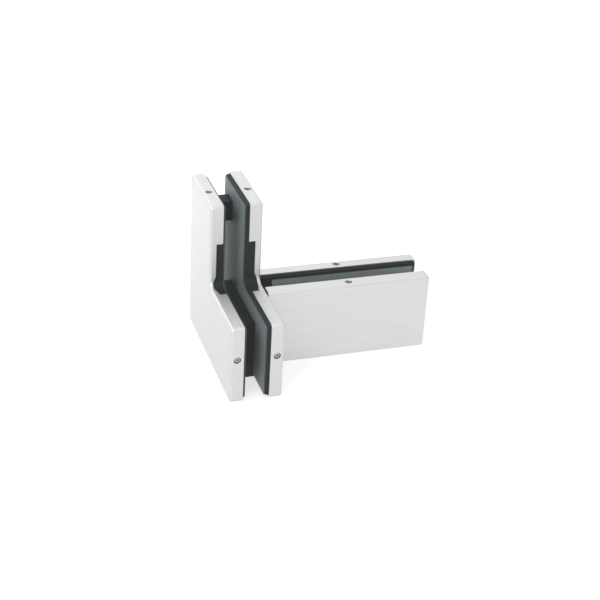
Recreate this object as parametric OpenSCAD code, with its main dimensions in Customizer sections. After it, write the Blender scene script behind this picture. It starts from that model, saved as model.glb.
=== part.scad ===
// Corner patch fitting for frameless glass, with a clamp for a glass fin at right angles to it.
// An L of two castings under pressed covers grips one pane in its middle, and a bar of the
// same section stands out from its right side and grips the fin.
// X = 0 and Y = 0 are the mid-planes of the two panes, and Z = 0 is the underside.

/* [Glass] */
// Thickness of both panes
glass_t = 12; // [10:0.5:15]
// Room between a pane and the gasket on each side of it
glass_clear = 0.1; // [0.1:0.1:1]
// Thickness of each gasket sheet
gasket_t = 1; // [0.6:0.1:1.6]
// Border of bare casting around each gasket of the L
gasket_margin = 0.6; // [0.4:0.1:3]
// Border of bare casting around each gasket of the fin clamp
fin_gasket_margin = 1.9; // [0.4:0.1:3]
// Room between a gasket and the lugs it is cut around
gasket_clear = 0.5; // [0.2:0.1:1]
// Distance from the start of the fin clamp to its gaskets
fin_gasket_start = 9; // [6:0.5:14]

/* [Corner patch] */
// Height of the L, and its length from front to back
patch_len = 109; // [104:1:130]
// Width of both legs of the L, and height of the fin clamp
leg_w = 53; // [50:1:58]

/* [Fin clamp] */
// Length of the fin clamp
fin_len = 111; // [96:1:140]
// Gap between the fin covers and the side of the L
fin_gap = 0.8; // [0.4:0.1:2]

/* [Covers] */
// Depth of a cover, from its face to its rim
cover_depth = 8.5; // [7.5:0.5:12]
// Wall of a cover
cover_wall = 1.2; // [1:0.1:1.3]
// Rounding along the outer edge of a cover
edge_r = 1.6; // [1.4:0.1:1.8]
// Plan radius of a cover's outer corners
corner_r = 2.2; // [2:0.1:5]
// Plan radius of the L's inner corner
inner_r = 4; // [3:0.25:8]
// How far the clamp plates stand out past their cover rims
plate_reveal = 0.8; // [0.5:0.1:1.5]
// How far the castings with the lugs stand out past their cover rims
body_reveal = 2; // [0.5:0.1:2.5]
// Room between a cover's wall and its casting
cover_clear = 0.3; // [0.2:0.05:0.6]
// Depth of the cut-out in the L's rims at the inner corner
notch_d = 4.25; // [2:0.25:5]
// Reach of that cut-out up the vertical leg
notch_up = 29.5; // [16:0.5:36]
// Reach of that cut-out along the horizontal leg
notch_along = 11.5; // [7:0.5:18]
// Depth of that cut-out where the rims of the two legs meet
relief_d = 6.1; // [5.1:0.1:6.5]
// Height on the vertical leg from which it deepens towards the corner
relief_up = 6.5; // [5:0.5:10]

/* [Lugs] */
// Height of the lugs that the panes stand on
lug_h = 39.5; // [36:0.5:41]
// Distance from the front end of the L to its lug
lug_setback = 27; // [20:0.5:30]
// Distance from the back edge of the L to its lug
lug_back = 22; // [16:0.5:24]
// Height of the upper lug
upper_lug_h = 13.5; // [12:0.5:18]
// Depth of the upper lug, front to back
upper_lug_w = 12; // [11:0.5:18]
// Distance from the back edge of the L to the upper lug
upper_lug_back = 9.5; // [7:0.5:14]
// Distance from the top end of the L to the upper lug
upper_lug_drop = 12.5; // [8:0.5:14]
// Distance from the free end of the fin clamp to its lug
fin_lug_setback = 26; // [20:0.5:30]
// Height of the fin lug's foot above the underside, where it passes the cover
fin_root_z = 3.5; // [3:0.25:5]
// Room around that foot in the cover
fin_root_clear = 0.5; // [0.3:0.1:1]

/* [Clamp bolts] */
// Thread of the clamp bolts
clamp_d = 6; // [5:0.5:6]
// Countersunk head of the clamp bolts
clamp_head_d = 12; // [11:0.5:13]
// Length of the clamp bolts, head included
clamp_len = 25; // [20:1:28]
// Across flats of the clamp bolts' socket
clamp_key = 4; // [3:0.5:4]
// Distance from the ends of a lug to its clamp bolts
clamp_inset = 11; // [9:0.5:13]
// Distance from the start of the fin clamp to its first clamp bolt
fin_clamp_start = 32; // [28:0.5:36]

/* [Fin bolts] */
// Thread of the bolts that hold the fin clamp on the L
fin_bolt_d = 8; // [6:0.5:8]
// Length of those bolts under the head
fin_bolt_len = 35; // [28:1:38]
// Cap head diameter
fin_bolt_head_d = 13; // [12:0.5:13]
// Cap head height
fin_bolt_head_h = 8; // [6:0.5:8]
// Across flats of the socket
fin_bolt_key = 6; // [4:0.5:6]
// Height of the lower fin bolt
fin_bolt_z = 11; // [10.5:0.25:11.5]
// Distance between the two fin bolts
fin_bolt_pitch = 16; // [15:0.25:16.5]
// Thickness of the spring washers under the heads
washer_t = 2; // [1.5:0.1:2]
// Opening of a spring washer's split
washer_split = 1; // [0.6:0.1:1.5]

/* [Cover screws] */
// Thread of the grub screws in the cover rims
grub_d = 4; // [3:0.5:5]
// Length of the grub screws
grub_len = 6; // [4:0.5:8]
// Across flats of the grub screws' socket
grub_key = 2; // [1.5:0.25:2]
// How far the grub screws sit below the rim
grub_sunk = 0.8; // [0.2:0.1:1]
// Distance from the outer edges of the L to the grub screws in its ends
end_grub = 30.5; // [22:0.5:34]

/* [Clearances] */
// Room around a plain shank in its hole
shank_clear = 0.3; // [0.2:0.05:0.5]
// Room around a thread in its tapped hole
thread_clear = 0.1; // [0.05:0.05:0.2]
// Room around and above a bolt head in its recess
head_clear = 0.5; // [0.3:0.05:0.6]

/* [Hidden] */
$fn = 48;

// Overlap of cutting tools past the faces they open
past = 1;
// Smallest plan radius left on an inset outline
least_r = 0.4;
// Depth of a hex socket as a share of its across flats
socket_ratio = 0.8;
// Across corners of a hexagon over its across flats
hex_corner = 2 / sqrt(3);

// Layers of one half, measured from the mid-plane of its pane
pane_face = glass_t / 2 + glass_clear;
cast_face = pane_face + gasket_t;
cast_inset = cover_wall + cover_clear;
// Layers of one half's cover, which depend on how far its casting stands out
function rim_at(reveal) = cast_face + reveal;
function face_at(reveal) = rim_at(reveal) + cover_depth;
function seat_at(reveal) = face_at(reveal) - cover_wall;
function grub_at(reveal) = rim_at(reveal) + cover_depth / 2;
plate_seat = seat_at(plate_reveal);
body_seat = seat_at(body_reveal);

// Places along the L: Y runs from its front end to its back edge
front_y = leg_w - patch_len;
back_y = leg_w;
lug_y0 = front_y + lug_setback;
lug_y1 = back_y - lug_back;
upper_lug_y0 = back_y - upper_lug_back - upper_lug_w;
upper_lug_z0 = patch_len - upper_lug_drop - upper_lug_h;
// Length of the corner cut-out's deepest part on each leg
relief_half = inner_r / 2;

// Places along the fin clamp: X runs from the side of the L to the free end
fin_x0 = face_at(body_reveal) + fin_gap;
fin_x1 = fin_x0 + fin_len;
fin_lug_x1 = fin_x1 - fin_lug_setback;

// Plan outlines, counter-clockwise, as [across, up, corner radius]
patch_path = [
    [front_y, 0, corner_r], [back_y, 0, corner_r], [back_y, patch_len, corner_r],
    [0, patch_len, corner_r], [0, leg_w, inner_r], [front_y, leg_w, corner_r]
];
fin_path = [
    [fin_x0, 0, corner_r], [fin_x1, 0, corner_r], [fin_x1, leg_w, corner_r], [fin_x0, leg_w, corner_r]
];
// The fin covers are open where they butt on the L: their outline runs on past that end
fin_cover_path = [for (p = fin_path) [p.x == fin_x0 ? fin_x0 - 2 * corner_r : p.x, p.y, p.z]];

// Bolt places in plan
clamp_spots = [
    [lug_y0 + clamp_inset, lug_h / 2], [lug_y1 - clamp_inset, lug_h / 2],
    [upper_lug_y0 + upper_lug_w / 2, upper_lug_z0 + upper_lug_h / 2]
];
fin_clamp_spots = [
    [fin_x0 + fin_clamp_start, lug_h / 2], [fin_lug_x1 - clamp_inset, lug_h / 2]
];
fin_bolt_zs = [fin_bolt_z, fin_bolt_z + fin_bolt_pitch];

// Grub screws in plan, as [across, up, direction in degrees from the rim inward]
patch_grubs = [[back_y - end_grub, patch_len, -90], [front_y, end_grub, 0]];
fin_grubs = [[fin_x0 + fin_len / 2, leg_w, -90], [fin_x0 + fin_len / 2, 0, 90]];

// Depth of the recess for a fin bolt's head and washer, from the lug's left face
fin_recess = fin_bolt_head_h + washer_t + head_clear;
fin_head_x = -cast_face + fin_recess - washer_t;

// Outline helpers
// Direction of the edge that leaves corner i, and its inward normal
function edge_angle(path, i) =
    let (n = len(path), a = path[(i + n) % n], b = path[(i + 1) % n]) atan2(b.y - a.y, b.x - a.x);
function along(angle) = [round(cos(angle)), round(sin(angle))];
function inward(angle) = along(angle + 90);
// +1 at an outer corner and -1 at an inner one
function turn(path, i) =
    let (a = along(edge_angle(path, i - 1)), b = along(edge_angle(path, i))) sign(a.x * b.y - a.y * b.x);
function spot(path, i) = [path[i].x, path[i].y];
// Where the round of corner i starts and ends, and its centre
function round_start(path, i) = spot(path, i) - along(edge_angle(path, i - 1)) * path[i].z;
function round_end(path, i) = spot(path, i) + along(edge_angle(path, i)) * path[i].z;
function round_centre(path, i) =
    round_start(path, i) + turn(path, i) * inward(edge_angle(path, i - 1)) * path[i].z;
// The same outline moved inward by d
function inset(path, d) = [
    for (i = [0 : len(path) - 1])
        let (p = spot(path, i) + d * (inward(edge_angle(path, i - 1)) + inward(edge_angle(path, i))))
        [p.x, p.y, turn(path, i) > 0 ? max(path[i].z - d, least_r) : path[i].z + d]
];

// A filled outline with true arcs at its corners
module plan(path) {
    corners = [0 : len(path) - 1];
    difference() {
        union() {
            polygon([for (i = corners, p = [round_start(path, i), round_end(path, i)]) p]);
            for (i = corners) if (turn(path, i) > 0) translate(round_centre(path, i)) circle(path[i].z);
        }
        for (i = corners) if (turn(path, i) < 0) translate(round_centre(path, i)) circle(path[i].z);
    }
}

// Section of a cover at its edge: inward across, outward up from its rim
module rim_section() {
    square([cover_wall, cover_depth - edge_r]);
    difference() {
        translate([edge_r, cover_depth - edge_r]) intersection() {
            circle(edge_r);
            translate([-edge_r, 0]) square(edge_r);
        }
        translate([cover_wall, 0]) square([edge_r, cover_depth - cover_wall]);
    }
}

// A pressed cover on its rim: its section swept around the outline, and its face inside that
module pressed_cover(path) {
    for (i = [0 : len(path) - 1]) {
        heading = edge_angle(path, i);
        ends = [round_end(path, i), round_start(path, (i + 1) % len(path))];
        translate([ends[0].x, ends[0].y, 0]) rotate([90, 0, heading + 90])
            linear_extrude(norm(ends[1] - ends[0])) rim_section();
        centre = round_centre(path, i);
        before = edge_angle(path, i - 1);
        translate([centre.x, centre.y, 0])
            if (turn(path, i) > 0)
                rotate(before - 90) rotate_extrude(angle = 90)
                    translate([path[i].z, 0]) mirror([1, 0]) rim_section();
            else
                rotate(before) rotate_extrude(angle = 90) translate([path[i].z, 0]) rim_section();
    }
    translate([0, 0, cover_depth - cover_wall]) linear_extrude(cover_wall) plan(inset(path, edge_r));
}

// The plate of a casting, from its gasket face to the inside of its cover
module casting_plate(path, seat) {
    translate([0, 0, cast_face]) linear_extrude(seat - cast_face) plan(inset(path, cast_inset));
}

// A gasket sheet, cut away where the children stand
module gasket_sheet(path, margin) {
    translate([0, 0, pane_face]) linear_extrude(gasket_t) difference() {
        plan(inset(path, cast_inset + margin));
        children();
    }
}

// A row of grub screws at one height, and with room added and no socket, the holes that take them
module grubs(spots, height) {
    for (s = spots)
        translate([s[0], s[1], height]) rotate([0, 90, s[2]]) translate([0, 0, grub_sunk]) difference() {
            cylinder(d = grub_d, h = grub_len);
            translate([0, 0, -past]) hex_socket(grub_key);
        }
}

module grub_holes(spots, height, room, from, to) {
    for (s = spots)
        translate([s[0], s[1], height]) rotate([0, 90, s[2]])
            translate([0, 0, from]) cylinder(d = grub_d + 2 * room, h = to - from);
}

// The tapped holes for the grub screws in a casting
module tapped_grub_holes(spots, reveal) {
    grub_holes(spots, grub_at(reveal), thread_clear, 0, cast_inset + grub_len);
}

// The cut of a hex key, from past above the surface
module hex_socket(key) {
    cylinder(d = key * hex_corner, h = past + key * socket_ratio, $fn = 6);
}

// A countersunk bolt that points to -Z from the back of a casting at Z = 0
module countersunk_bolt() {
    shank_r = clamp_d / 2;
    head_r = clamp_head_d / 2;
    difference() {
        rotate_extrude() polygon([
            [0, 0], [head_r, 0], [shank_r, shank_r - head_r], [shank_r, -clamp_len], [0, -clamp_len]
        ]);
        translate([0, 0, past]) mirror([0, 0, 1]) hex_socket(clamp_key);
    }
}

// Its countersunk hole through a plate of thickness t
module countersunk_hole(t) {
    shank_r = clamp_d / 2 + shank_clear;
    head_r = clamp_head_d / 2 + shank_clear;
    rotate_extrude() polygon([
        [0, past], [head_r, past], [head_r, 0], [shank_r, shank_r - head_r], [shank_r, -t - past], [0, -t - past]
    ]);
}

// Places: a half's own frame has its plan in X and Y and its pane's mid-plane at Z = 0
module on_right() { rotate([90, 0, 90]) children(); }
module on_left() { mirror([1, 0, 0]) on_right() children(); }
module on_fin_front() { rotate([90, 0, 0]) children(); }
module on_fin_rear() { mirror([0, 1, 0]) on_fin_front() children(); }

// Corner patch
// Cover of one side of the L, without the openings that only one side has
module patch_cover(reveal) {
    translate([0, 0, rim_at(reveal)]) difference() {
        pressed_cover(patch_path);
        grub_holes(patch_grubs, cover_depth / 2, shank_clear, -past, cast_inset);
        corner_cut();
    }
}

// The cut into the rims at the L's inner corner: one prism for each leg, deepest where they meet
module corner_cut() {
    low = leg_w - edge_r;
    high = leg_w + notch_up;
    width = relief_half + edge_r;
    translate([0, leg_w + relief_half, 0]) rotate([90, 0, 0]) linear_extrude(width) polygon([
        [-notch_along, -past], [edge_r, -past], [edge_r, relief_d], [-relief_half, relief_d],
        [-notch_along, notch_d]
    ]);
    translate([-relief_half, 0, 0]) rotate([90, 0, 90]) linear_extrude(width) polygon([
        [low, -past], [high, -past], [high, notch_d], [leg_w + relief_up, notch_d],
        [leg_w + relief_half, relief_d], [low, relief_d]
    ]);
}

module left_cover() { color("gainsboro") on_left() patch_cover(plate_reveal); }

module right_cover() {
    color("gainsboro") difference() {
        on_right() patch_cover(body_reveal);
        foot = cast_face + fin_root_clear;
        translate([body_seat - past, -foot, fin_root_z - fin_root_clear])
            cube([cover_wall + 2 * past, 2 * foot, lug_h - fin_root_z + 2 * fin_root_clear]);
    }
}

// Plan of the L's lugs, grown all round by room
module lug_plan(room = 0) {
    translate([lug_y0 - room, -room]) square([lug_y1 - lug_y0 + 2 * room, lug_h + 2 * room]);
    translate([upper_lug_y0 - room, upper_lug_z0 - room])
        square([upper_lug_w + 2 * room, upper_lug_h + 2 * room]);
}

// Right casting: the plate with both lugs, which reach the left plate
module right_body() {
    bore = fin_bolt_d + 2 * shank_clear;
    recess = fin_bolt_head_d + 2 * head_clear;
    color([0.2, 0.21, 0.21]) difference() {
        on_right() union() {
            casting_plate(patch_path, body_seat);
            translate([0, 0, -cast_face]) linear_extrude(2 * cast_face) lug_plan();
        }
        on_right() {
            tapped_grub_holes(patch_grubs, body_reveal);
            for (s = clamp_spots) translate([s[0], s[1], -cast_face - past])
                cylinder(d = clamp_d + 2 * thread_clear, h = clamp_len);
        }
        for (z = fin_bolt_zs) translate([-cast_face - past, 0, z]) rotate([0, 90, 0]) {
            cylinder(d = bore, h = cast_face + body_seat + 2 * past);
            cylinder(d = recess, h = fin_recess + past);
        }
    }
}

// Left casting: a plain plate, countersunk for the clamp bolts
module left_clamp_plate() {
    color([0.2, 0.21, 0.21]) on_left() difference() {
        casting_plate(patch_path, plate_seat);
        tapped_grub_holes(patch_grubs, plate_reveal);
        for (s = clamp_spots) translate([s[0], s[1], plate_seat]) countersunk_hole(plate_seat - cast_face);
    }
}

// Both gaskets of the L are cut out around the lugs
module patch_gasket() {
    gasket_sheet(patch_path, gasket_margin) lug_plan(gasket_clear);
}

module left_gasket() { color([0.42, 0.45, 0.43]) on_left() patch_gasket(); }
module right_gasket() { color([0.42, 0.45, 0.43]) on_right() patch_gasket(); }

module clamp_bolts() {
    color("dimgray") on_left() for (s = clamp_spots) translate([s[0], s[1], plate_seat]) countersunk_bolt();
}

module left_cover_screws() { color("silver") on_left() grubs(patch_grubs, grub_at(plate_reveal)); }
module right_cover_screws() { color("silver") on_right() grubs(patch_grubs, grub_at(body_reveal)); }

// Fin clamp
// Cover of one side, cut off square where it butts on the L
module fin_cover(reveal) {
    translate([0, 0, rim_at(reveal)]) difference() {
        pressed_cover(fin_cover_path);
        grub_holes(fin_grubs, cover_depth / 2, shank_clear, -past, cast_inset);
        translate([fin_x0 - 2 * corner_r - past, -past, -past])
            cube([2 * corner_r + past, leg_w + 2 * past, cover_depth + 2 * past]);
    }
}

module fin_front_cover() { color("gainsboro") on_fin_front() fin_cover(plate_reveal); }
module fin_rear_cover() { color("gainsboro") on_fin_rear() fin_cover(body_reveal); }

// Rear casting of the fin clamp: its lug runs back through the cover to the side of the L
module fin_body() {
    color([0.2, 0.21, 0.21]) difference() {
        union() {
            on_fin_rear() casting_plate(fin_path, body_seat);
            translate([fin_x0, -cast_face, 0]) cube([fin_lug_x1 - fin_x0, 2 * cast_face, lug_h]);
            translate([body_seat, -cast_face, fin_root_z])
                cube([fin_x0 - body_seat, 2 * cast_face, lug_h - fin_root_z]);
        }
        on_fin_rear() {
            tapped_grub_holes(fin_grubs, body_reveal);
            for (s = fin_clamp_spots) translate([s[0], s[1], -cast_face - past])
                cylinder(d = clamp_d + 2 * thread_clear, h = clamp_len);
        }
        for (z = fin_bolt_zs) translate([body_seat - past, 0, z]) rotate([0, 90, 0])
            cylinder(d = fin_bolt_d + 2 * thread_clear, h = fin_head_x + fin_bolt_len - body_seat + 3 * past);
    }
}

module fin_clamp_plate() {
    color([0.2, 0.21, 0.21]) on_fin_front() difference() {
        casting_plate(fin_path, plate_seat);
        tapped_grub_holes(fin_grubs, plate_reveal);
        for (s = fin_clamp_spots) translate([s[0], s[1], plate_seat]) countersunk_hole(plate_seat - cast_face);
    }
}

// Both gaskets of the fin clamp start clear of the L and are cut away around the lug
module fin_gasket() {
    gasket_sheet(fin_path, fin_gasket_margin) {
        translate([fin_x0, 0]) square([fin_gasket_start, leg_w]);
        translate([fin_x0, 0]) square([fin_lug_x1 - fin_x0 + gasket_clear, lug_h + gasket_clear]);
    }
}

module fin_front_gasket() { color([0.42, 0.45, 0.43]) on_fin_front() fin_gasket(); }
module fin_rear_gasket() { color([0.42, 0.45, 0.43]) on_fin_rear() fin_gasket(); }

module fin_clamp_bolts() {
    color("dimgray") on_fin_front()
        for (s = fin_clamp_spots) translate([s[0], s[1], plate_seat]) countersunk_bolt();
}

// Cap bolts that hold the fin clamp on the L, sunk in the lug under the left plate
module fin_mounting_bolts() {
    color("dimgray") for (z = fin_bolt_zs) translate([fin_head_x, 0, z]) rotate([0, 90, 0]) difference() {
        union() {
            translate([0, 0, -fin_bolt_head_h]) cylinder(d = fin_bolt_head_d, h = fin_bolt_head_h);
            cylinder(d = fin_bolt_d, h = fin_bolt_len);
        }
        translate([0, 0, -fin_bolt_head_h - past]) hex_socket(fin_bolt_key);
    }
}

module fin_mounting_washers() {
    color("dimgray") for (z = fin_bolt_zs) translate([fin_head_x, 0, z]) rotate([0, 90, 0]) difference() {
        cylinder(d = fin_bolt_head_d, h = washer_t);
        translate([0, 0, -past]) cylinder(d = fin_bolt_d + 2 * shank_clear, h = washer_t + 2 * past);
        translate([0, -washer_split / 2, -past])
            cube([fin_bolt_head_d, washer_split, washer_t + 2 * past]);
    }
}

module fin_front_cover_screws() { color("silver") on_fin_front() grubs(fin_grubs, grub_at(plate_reveal)); }
module fin_rear_cover_screws() { color("silver") on_fin_rear() grubs(fin_grubs, grub_at(body_reveal)); }

left_cover();
right_cover();
left_clamp_plate();
right_body();
left_gasket();
right_gasket();
clamp_bolts();
left_cover_screws();
right_cover_screws();
fin_front_cover();
fin_rear_cover();
fin_body();
fin_clamp_plate();
fin_front_gasket();
fin_rear_gasket();
fin_clamp_bolts();
fin_mounting_bolts();
fin_mounting_washers();
fin_front_cover_screws();
fin_rear_cover_screws();
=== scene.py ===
from math import ceil, pi, radians, sqrt

import bmesh
import bpy
from mathutils import Matrix, Vector


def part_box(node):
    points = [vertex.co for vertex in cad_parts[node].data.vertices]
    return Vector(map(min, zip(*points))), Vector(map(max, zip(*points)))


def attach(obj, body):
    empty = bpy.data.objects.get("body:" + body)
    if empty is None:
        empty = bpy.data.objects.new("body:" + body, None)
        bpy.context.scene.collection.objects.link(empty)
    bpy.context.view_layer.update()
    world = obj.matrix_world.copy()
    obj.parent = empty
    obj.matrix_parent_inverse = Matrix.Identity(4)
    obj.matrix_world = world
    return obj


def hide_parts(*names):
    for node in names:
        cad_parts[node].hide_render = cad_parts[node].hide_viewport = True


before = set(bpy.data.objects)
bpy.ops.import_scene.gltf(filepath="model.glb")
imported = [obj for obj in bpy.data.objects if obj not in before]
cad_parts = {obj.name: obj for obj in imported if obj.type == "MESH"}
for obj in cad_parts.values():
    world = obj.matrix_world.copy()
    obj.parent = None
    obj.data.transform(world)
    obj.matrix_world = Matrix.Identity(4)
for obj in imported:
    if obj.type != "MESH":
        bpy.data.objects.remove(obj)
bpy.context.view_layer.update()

MM = 0.001


# Castings
# Aluminium die castings carry everything: a body with lugs and a clamp plate for each pane.
# They are sprayed with a dark grey coating that leaves a fine orange-peel skin.
class Wire:
    """One wire of a node tree. Arithmetic adds Math nodes, and add() makes any other node."""

    def __init__(self, tree, socket=None):
        self.tree = tree
        self.socket = socket

    def add(self, kind, settings=(), sockets=(), out=0):
        node = self.tree.nodes.new(kind)
        for name, value in dict(settings).items():
            setattr(node, name, value)
        for name, value in dict(sockets).items():
            if isinstance(value, Wire):
                self.tree.links.new(value.socket, node.inputs[name])
            else:
                node.inputs[name].default_value = value
        return Wire(self.tree, node.outputs[out])

    def math(self, operation, *values):
        return self.add("ShaderNodeMath", {"operation": operation}, dict(enumerate(values)))

    def __add__(self, other):
        return self.math("ADD", self, other)

    __radd__ = __add__

    def __sub__(self, other):
        return self.math("SUBTRACT", self, other)

    def __rsub__(self, other):
        return self.math("SUBTRACT", other, self)

    def __mul__(self, other):
        return self.math("MULTIPLY", self, other)

    def __truediv__(self, other):
        return self.math("DIVIDE", self, other)


def new_finish(name):
    """An empty material, and a wire to build it with."""
    finish = bpy.data.materials.new(name)
    finish.use_nodes = True
    finish.node_tree.nodes.clear()
    return finish, Wire(finish.node_tree)


def close_finish(finish, surface):
    """Joins a shader to the material's output."""
    output = finish.node_tree.nodes.new("ShaderNodeOutputMaterial")
    finish.node_tree.links.new(surface.socket, output.inputs["Surface"])
    return finish


def mixed(wire, amount, low, high):
    """A colour between low and high."""
    return wire.add("ShaderNodeMix", {"data_type": "RGBA"}, {
        "Factor": amount, "A": low, "B": high}, "Result")


def noise(wire, place, scale, detail=2.0, rough=0.5):
    """Even noise at a scale in bumps per metre."""
    return wire.add("ShaderNodeTexNoise", {}, {
        "Vector": place, "Scale": scale, "Detail": detail, "Roughness": rough}, "Fac")


def coated_casting():
    finish, wire = new_finish("coated_casting")
    place = wire.add("ShaderNodeTexCoord", out="Object")
    peel = noise(wire, place, 1100.0)
    cloud = noise(wire, place, 60.0, 3.0)
    colour = mixed(wire, cloud, (0.0095, 0.0118, 0.0123, 1), (0.0155, 0.0185, 0.0192, 1))
    skin = wire.add("ShaderNodeBump", {}, {
        "Height": peel, "Strength": 0.2, "Distance": 0.1 * MM})
    return close_finish(finish, wire.add("ShaderNodeBsdfPrincipled", {}, {
        "Base Color": colour, "Roughness": 0.40 + cloud * 0.16, "Specular IOR Level": 0.12,
        "Normal": skin}))


WELD = 0.001 * MM


def eased(node, soft):
    """A copy of a CAD node's mesh with its hard edges eased by soft, in metres."""
    flat, hard = radians(0.5), radians(40)
    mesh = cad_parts[node].data.copy()
    work = bmesh.new()
    work.from_mesh(mesh)
    bmesh.ops.remove_doubles(work, verts=work.verts, dist=WELD)
    bmesh.ops.dissolve_limit(work, angle_limit=flat, verts=work.verts, edges=work.edges)
    bmesh.ops.triangulate(work, faces=work.faces)
    work.to_mesh(mesh)
    work.free()
    mesh.shade_smooth()
    piece = bpy.data.objects.new("eased_" + node, mesh)
    bpy.context.scene.collection.objects.link(piece)
    bevel = piece.modifiers.new("ease", "BEVEL")
    bevel.width, bevel.segments = soft, 2
    bevel.limit_method, bevel.angle_limit = "ANGLE", hard
    bevel.use_clamp_overlap = bevel.loop_slide = False
    piece.modifiers.new("flat_faces", "WEIGHTED_NORMAL").weight = 100
    return made(piece)


def made(piece):
    """Turns a piece with modifiers into a plain mesh."""
    scene_state = bpy.context.evaluated_depsgraph_get()
    piece.data = bpy.data.meshes.new_from_object(piece.evaluated_get(scene_state))
    piece.modifiers.clear()
    return piece


def fit(piece, node, finish):
    """Puts a finished piece in the place of a CAD node."""
    piece.data.materials.clear()
    piece.data.materials.append(finish)
    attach(piece, "root")
    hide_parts(node)


casting_finish = coated_casting()
for node in ("right_body", "left_clamp_plate", "fin_body", "fin_clamp_plate"):
    fit(eased(node, soft=0.25 * MM), node, casting_finish)


# Gaskets
# Grey-green sheets of bonded fibre, punched to shape and stuck on the faces that grip the
# glass. Their faces have a slight satin sheen. Their cut edges are painted darker: painted
# shade for the dark shadow lines along the sheets' edges.
def fibre_sheet(name, across):
    """The sheet's finish; across names the axis through its thickness."""
    finish, wire = new_finish(name)
    dark, pale = (0.102, 0.120, 0.122, 1), (0.215, 0.241, 0.244, 1)
    # Painted shade: the cut edges' colour is darker than the sheet and stands in for the shadow
    # lines along its edges.
    painted_edge_shade = (0.055, 0.064, 0.065, 1)
    place = wire.add("ShaderNodeTexCoord", out="Object")
    fibre = noise(wire, place, 1500.0, 4.0, 0.7)
    cloud = noise(wire, place, 80.0)
    sheet = mixed(wire, fibre * 0.6 + cloud * 0.4, dark, pale)
    side = wire.add("ShaderNodeTexCoord", out="Normal")
    facing = wire.math("ABSOLUTE", wire.add("ShaderNodeSeparateXYZ", {}, {"Vector": side}, across))
    on_face = wire.math("GREATER_THAN", facing, 0.8)
    # Faces across the thickness keep the sheet's colour; every other face gets the painted edge
    # shade.
    colour = mixed(wire, on_face, painted_edge_shade, sheet)
    nap = wire.add("ShaderNodeBump", {}, {
        "Height": fibre, "Strength": 0.25, "Distance": 0.1 * MM})
    return close_finish(finish, wire.add("ShaderNodeBsdfPrincipled", {}, {
        "Base Color": colour, "Roughness": 0.46 + fibre * 0.14, "Specular IOR Level": 0.1,
        "Normal": nap}))


patch_sheet, fin_sheet = fibre_sheet("patch_sheet", "X"), fibre_sheet("fin_sheet", "Y")
for node, finish in (("left_gasket", patch_sheet), ("right_gasket", patch_sheet),
                     ("fin_front_gasket", fin_sheet), ("fin_rear_gasket", fin_sheet)):
    fit(eased(node, soft=0.12 * MM), node, finish)


# Bolts
# Socket bolts of hardened steel with a dark oxide skin: countersunk ones draw the clamp
# plates onto the lugs, and cap bolts on spring washers hold the fin clamp on the L.
def steel_skin(name, dark, bright, roughness):
    finish, wire = new_finish(name)
    place = wire.add("ShaderNodeTexCoord", out="Object")
    grain = noise(wire, place, 900.0, 3.0)
    return close_finish(finish, wire.add("ShaderNodeBsdfPrincipled", {}, {
        "Base Color": mixed(wire, grain, dark, bright), "Metallic": 1.0,
        "Roughness": roughness + grain * 0.15}))


# The rows of a screw's grid: so many to a turn of the thread, and those that close its ends.
ROWS_TO_A_TURN, END_ROWS = 8, 3


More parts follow.
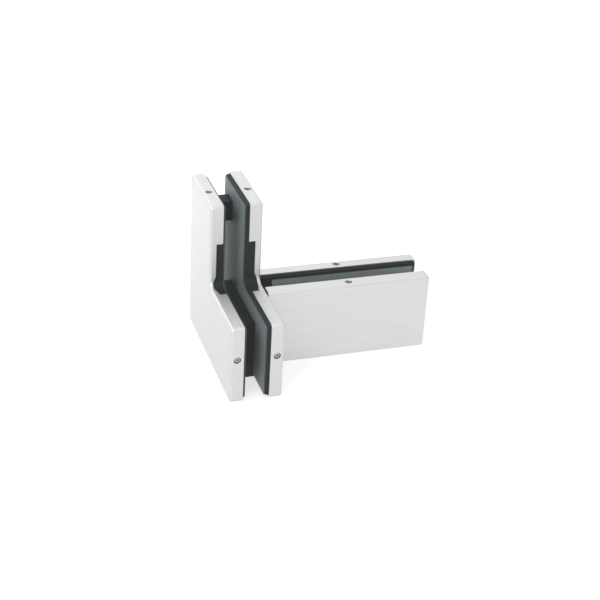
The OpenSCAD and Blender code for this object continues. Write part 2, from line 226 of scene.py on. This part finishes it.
def screw_tree():
    """Threaded socket screws at the points of a mesh, with their heads towards its outward."""
    tree = bpy.data.node_groups.new("socket_screws", "GeometryNodeTree")
    lengths = ("Shank", "Length", "Pitch", "Key", "Head", "Head Height", "Cone")
    sockets = [("Points", "Geometry")] + [(name, "Float") for name in lengths]
    sockets += [("Rows", "Int"), ("Finish", "Material")]
    for name, kind in sockets:
        tree.interface.new_socket(name, in_out="INPUT", socket_type="NodeSocket" + kind)
    tree.interface.new_socket("Screws", in_out="OUTPUT", socket_type="NodeSocketGeometry")
    entry = tree.nodes.new("NodeGroupInput")
    size = {name: Wire(tree, entry.outputs[name]) for name, kind in sockets}
    wire = Wire(tree)

    # A flat grid is rolled up: X runs around the screw, and Y down it.
    around = 25
    grid = wire.add("GeometryNodeMeshGrid", {}, {
        "Size X": 1.0, "Size Y": 1.0, "Vertices X": around, "Vertices Y": size["Rows"]}, "Mesh")
    at = wire.add("ShaderNodeSeparateXYZ", {}, {"Vector": wire.add("GeometryNodeInputPosition")})
    turn = Wire(tree, at.socket.node.outputs["X"]) + 0.5
    row = (Wire(tree, at.socket.node.outputs["Y"]) + 0.5) * (size["Rows"] - 1)
    share = wire.add("ShaderNodeClamp", {}, {"Value": (row - 1) / (size["Rows"] - END_ROWS)})
    down = share * size["Length"]
    inner = wire.math("GREATER_THAN", row, 0.5) * wire.math("LESS_THAN", row, size["Rows"] - 1.5)

    depth = size["Pitch"] * 0.5
    ridge = wire.math("ABSOLUTE", wire.math("FRACT", down / size["Pitch"] + turn) - 0.5) * 2
    thread = size["Shank"] / 2 - depth * ridge
    below_head = wire.math("MAXIMUM", down - size["Head Height"], 0.0)
    radius = wire.math("MAXIMUM", thread, size["Head"] / 2 - below_head * size["Cone"])
    widest = wire.math("MAXIMUM", size["Shank"], size["Head"]) / 2
    top_chamfer = widest - depth + down
    tip_chamfer = size["Shank"] / 2 - depth + (size["Length"] - down)
    radius = wire.math("MINIMUM", wire.math("MINIMUM", radius, top_chamfer), tip_chamfer) * inner
    angle = turn * (2 * pi)
    swept = wire.add("ShaderNodeCombineXYZ", {}, {
        "X": radius * wire.math("COSINE", angle), "Y": radius * wire.math("SINE", angle),
        "Z": 0.0 - down})
    body = wire.add("GeometryNodeSetPosition", {}, {"Geometry": grid, "Position": swept})
    body = wire.add("GeometryNodeMergeByDistance", {}, {"Geometry": body, "Distance": WELD})

    socket_depth = size["Key"] * 0.8
    socket = wire.add("GeometryNodeMeshCylinder", {}, {
        "Vertices": 6, "Radius": size["Key"] / sqrt(3), "Depth": socket_depth * 2}, "Mesh")
    cut = wire.add("GeometryNodeMeshBoolean", {"operation": "DIFFERENCE", "solver": "EXACT"}, {
        "Mesh 1": body, "Mesh 2": socket}, "Mesh")
    cut = wire.add("GeometryNodeMergeByDistance", {}, {"Geometry": cut, "Distance": 2 * WELD})

    outward = wire.add("GeometryNodeInputNamedAttribute", {"data_type": "FLOAT_VECTOR"}, {
        "Name": "outward"})
    facing = wire.add("FunctionNodeAlignRotationToVector", {"axis": "Z"}, {"Vector": outward})
    placed = wire.add("GeometryNodeInstanceOnPoints", {}, {
        "Points": size["Points"], "Instance": cut, "Rotation": facing})
    solid = wire.add("GeometryNodeRealizeInstances", {}, {"Geometry": placed})
    dressed = wire.add("GeometryNodeSetMaterial", {}, {
        "Geometry": solid, "Material": size["Finish"]})
    leave = tree.nodes.new("NodeGroupOutput")
    tree.links.new(dressed.socket, leave.inputs["Screws"])
    return tree


def islands(node):
    """The lowest and highest corners of each separate solid of a CAD node."""
    work = bmesh.new()
    work.from_mesh(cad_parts[node].data)
    bmesh.ops.remove_doubles(work, verts=work.verts, dist=WELD)
    seen, boxes = set(), []
    for start in work.verts:
        if start in seen:
            continue
        seen.add(start)
        reached = [start]
        for vert in reached:
            for other in (edge.other_vert(vert) for edge in vert.link_edges):
                if other not in seen:
                    seen.add(other)
                    reached.append(other)
        boxes.append(tuple(
            Vector(pick(vert.co[i] for vert in reached) for i in range(3)) for pick in (min, max)))
    work.free()
    return boxes


screws = screw_tree()


def screw_in(node, slot, finish, outward, **sizes):
    """Threaded screws in place of a CAD node's; outward gives the side of a solid's head."""
    crease = radians(38)
    points = bpy.data.meshes.new(node + "_points")
    heads = []
    for low, high in islands(node):
        middle, facing = (low + high) / 2, outward(low, high)
        reach = abs(facing.dot(high - low)) / 2
        heads.append((middle + facing * reach, facing))
    points.from_pydata([place for place, facing in heads], [], [])
    sides = points.attributes.new("outward", "FLOAT_VECTOR", "POINT")
    for entry, (place, facing) in zip(sides.data, heads):
        entry.vector = facing
    piece = bpy.data.objects.new("threaded_" + node, points)
    bpy.context.scene.collection.objects.link(piece)
    modifier = piece.modifiers.new("screws", "NODES")
    modifier.node_group = screws
    turns = sizes["Length"] / sizes["Pitch"]
    values = dict(sizes, Finish=finish, Rows=ceil(ROWS_TO_A_TURN * turns) + END_ROWS)
    for item in screws.interface.items_tree:
        if item.name in values:
            modifier[item.identifier] = values[item.name]
    made(piece).data.shade_smooth()
    piece.data.set_sharp_from_angle(angle=crease)
    fit(piece, node, finish)


oxide_finish = steel_skin("dark_oxide", (0.04, 0.04, 0.043, 1), (0.09, 0.09, 0.095, 1), 0.3)
CLAMP = {"Shank": 6 * MM, "Length": 25 * MM, "Pitch": 1 * MM, "Key": 4 * MM,
         "Head": 12 * MM, "Head Height": 0.0, "Cone": 1.0}
CAP = {"Shank": 8 * MM, "Length": 43 * MM, "Pitch": 1.25 * MM, "Key": 6 * MM,
       "Head": 13 * MM, "Head Height": 8 * MM, "Cone": 20.0}
for node, facing, sizes in (("clamp_bolts", Vector((-1, 0, 0)), CLAMP),
                            ("fin_clamp_bolts", Vector((0, -1, 0)), CLAMP),
                            ("fin_mounting_bolts", Vector((-1, 0, 0)), CAP)):
    screw_in(node, "fastener", oxide_finish, lambda low, high: facing, **sizes)
washers = "fin_mounting_washers"
fit(eased(washers, soft=0.15 * MM), washers, oxide_finish)


# Covers
# Stainless sheet pressed into shallow pans, brushed to a satin finish along their length
# and slipped over the castings.
def satin_stainless(name, lines, dark, bright, roughness):
    """Brushed steel; lines are the noise scales along X, Y and Z, small along the brushing."""
    finish, wire = new_finish(name)
    place = wire.add("ShaderNodeTexCoord", out="Object")
    drawn = wire.add("ShaderNodeMapping", {}, {"Vector": place, "Scale": lines})
    brush = noise(wire, drawn, 1.0, 4.0, 0.65)
    cloud = noise(wire, place, 30.0)
    colour = mixed(wire, brush, (dark, dark, dark, 1), (bright, bright, bright, 1))
    grain = wire.add("ShaderNodeBump", {}, {
        "Height": brush, "Strength": 0.12, "Distance": 0.1 * MM})
    return close_finish(finish, wire.add("ShaderNodeBsdfPrincipled", {}, {
        "Base Color": colour, "Metallic": 1.0, "Normal": grain,
        "Roughness": roughness + brush * 0.1 + cloud * 0.04}))


ALONG, ACROSS = 25.0, 1300.0
patch_finish = satin_stainless("satin_patch_covers", (ACROSS, ALONG, ACROSS), 0.57, 0.71, 0.46)
fin_finish = satin_stainless("satin_fin_covers", (ALONG, ACROSS, ACROSS), 0.59, 0.72, 0.40)
for node, finish in (("left_cover", patch_finish), ("right_cover", patch_finish),
                     ("fin_front_cover", fin_finish), ("fin_rear_cover", fin_finish)):
    fit(eased(node, soft=0.18 * MM), node, finish)


# Cover screws
# Stainless grub screws with a hex socket, two to a cover. They pass through the rim, turn
# in the casting and hold the cover on it.
def away_from(cover):
    """The side of a grub screw that faces away from the middle of its cover."""
    low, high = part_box(cover)
    centre = (low + high) / 2

    def outward(first, last):
        long_side = max(range(3), key=lambda i: (last - first)[i])
        facing = Vector((0, 0, 0))
        facing[long_side] = 1.0 if (first + last)[long_side] / 2 > centre[long_side] else -1.0
        return facing

    return outward


bright_finish = steel_skin("bright_steel", (0.42, 0.42, 0.42, 1), (0.56, 0.56, 0.56, 1), 0.22)
GRUB = {"Shank": 4 * MM, "Length": 6 * MM, "Pitch": 0.7 * MM, "Key": 2 * MM,
        "Head": 0.0, "Head Height": 0.0, "Cone": 0.0}
for side in ("left", "right", "fin_front", "fin_rear"):
    cover = side + "_cover"
    screw_in(cover + "_screws", "stainless", bright_finish, away_from(cover), **GRUB)


# Studio
# A white floor, lit from below as well, under a bright sky that dims towards the horizon.
# Soft lights stand on the left, at the front and behind, and a narrow one lights the floor
# behind the part, which the left cover mirrors.
def white_floor():
    finish, wire = new_finish("white_floor")
    return close_finish(finish, wire.add("ShaderNodeBsdfPrincipled", {}, {
        "Base Color": (0.35, 0.35, 0.35, 1), "Roughness": 0.9,
        "Emission Color": (1, 1, 1, 1), "Emission Strength": 0.66}))


def soft_light(name, size, power, place, aim, spread=pi):
    light = bpy.data.lights.new(name, "AREA")
    light.shape, light.size, light.energy, light.spread = "DISK", size, power, spread
    lamp = bpy.data.objects.new(name, light)
    lamp.location = place
    lamp.rotation_euler = (Vector(aim) - Vector(place)).to_track_quat("-Z", "Y").to_euler()
    bpy.context.scene.collection.objects.link(lamp)


FLOOR_HALF = 6.0
corners = [(-1, -1), (1, -1), (1, 1), (-1, 1)]
floor_mesh = bpy.data.meshes.new("floor")
floor_mesh.from_pydata(
    [(x * FLOOR_HALF, y * FLOOR_HALF, 0.0) for x, y in corners], [], [(0, 1, 2, 3)])
floor_mesh.materials.append(white_floor())
floor = bpy.data.objects.new("floor", floor_mesh)
bpy.context.scene.collection.objects.link(floor)

world = bpy.data.worlds.new("studio")
world.use_nodes = True
sky = Wire(world.node_tree)
towards = sky.add("ShaderNodeTexCoord", out="Generated")
height = sky.add("ShaderNodeSeparateXYZ", {}, {"Vector": towards}, "Z")
glow = sky.add("ShaderNodeMapRange", {"interpolation_type": "SMOOTHSTEP"}, {
    "Value": height, "From Max": 0.4, "To Min": 0.35, "To Max": 1.09}, "Result")
backdrop = world.node_tree.nodes["Background"].inputs
backdrop["Color"].default_value = (1, 1, 1, 1)
world.node_tree.links.new(glow.socket, backdrop["Strength"])
bpy.context.scene.world = world

MIDDLE = (0.03, 0.0, 0.04)
soft_light("key", 0.5, 8.5, (-0.85, -0.85, 0.8), MIDDLE)
soft_light("fill", 0.5, 0.8, (-0.2, -0.85, 0.6), MIDDLE)
soft_light("back", 1.3, 3.2, (-0.36, 0.70, 0.56), (-0.05, 0.1, 0.02))
soft_light("floor_behind", 0.2, 0.32, (-0.30, 0.62, 0.55), (-0.10, 0.30, 0.0), radians(30))

# The blacks are lifted a little, as by flare in a lens.
view = bpy.context.scene.view_settings
view.view_transform = "Standard"
view.use_curve_mapping = True
view.curve_mapping.black_level = (-0.017, -0.018, -0.0185)
view.curve_mapping.update()


# Camera
# A long lens from the front left and above, a touch off level.
AZIMUTH, ELEVATION, ROLL = -18.985, 28.879, 3.294
LENS, SENSOR = 81.936, 36.0
EYE = Vector((-210.64, -744.05, 470.05)) * MM

lens = bpy.data.cameras.new("camera")
lens.sensor_width, lens.lens = SENSOR, LENS
camera = bpy.data.objects.new("camera", lens)
camera.matrix_world = (
    Matrix.Translation(EYE) @ Matrix.Rotation(radians(AZIMUTH), 4, "Z")
    @ Matrix.Rotation(radians(90 - ELEVATION), 4, "X") @ Matrix.Rotation(radians(ROLL), 4, "Z"))
bpy.context.scene.collection.objects.link(camera)
bpy.context.scene.camera = camera
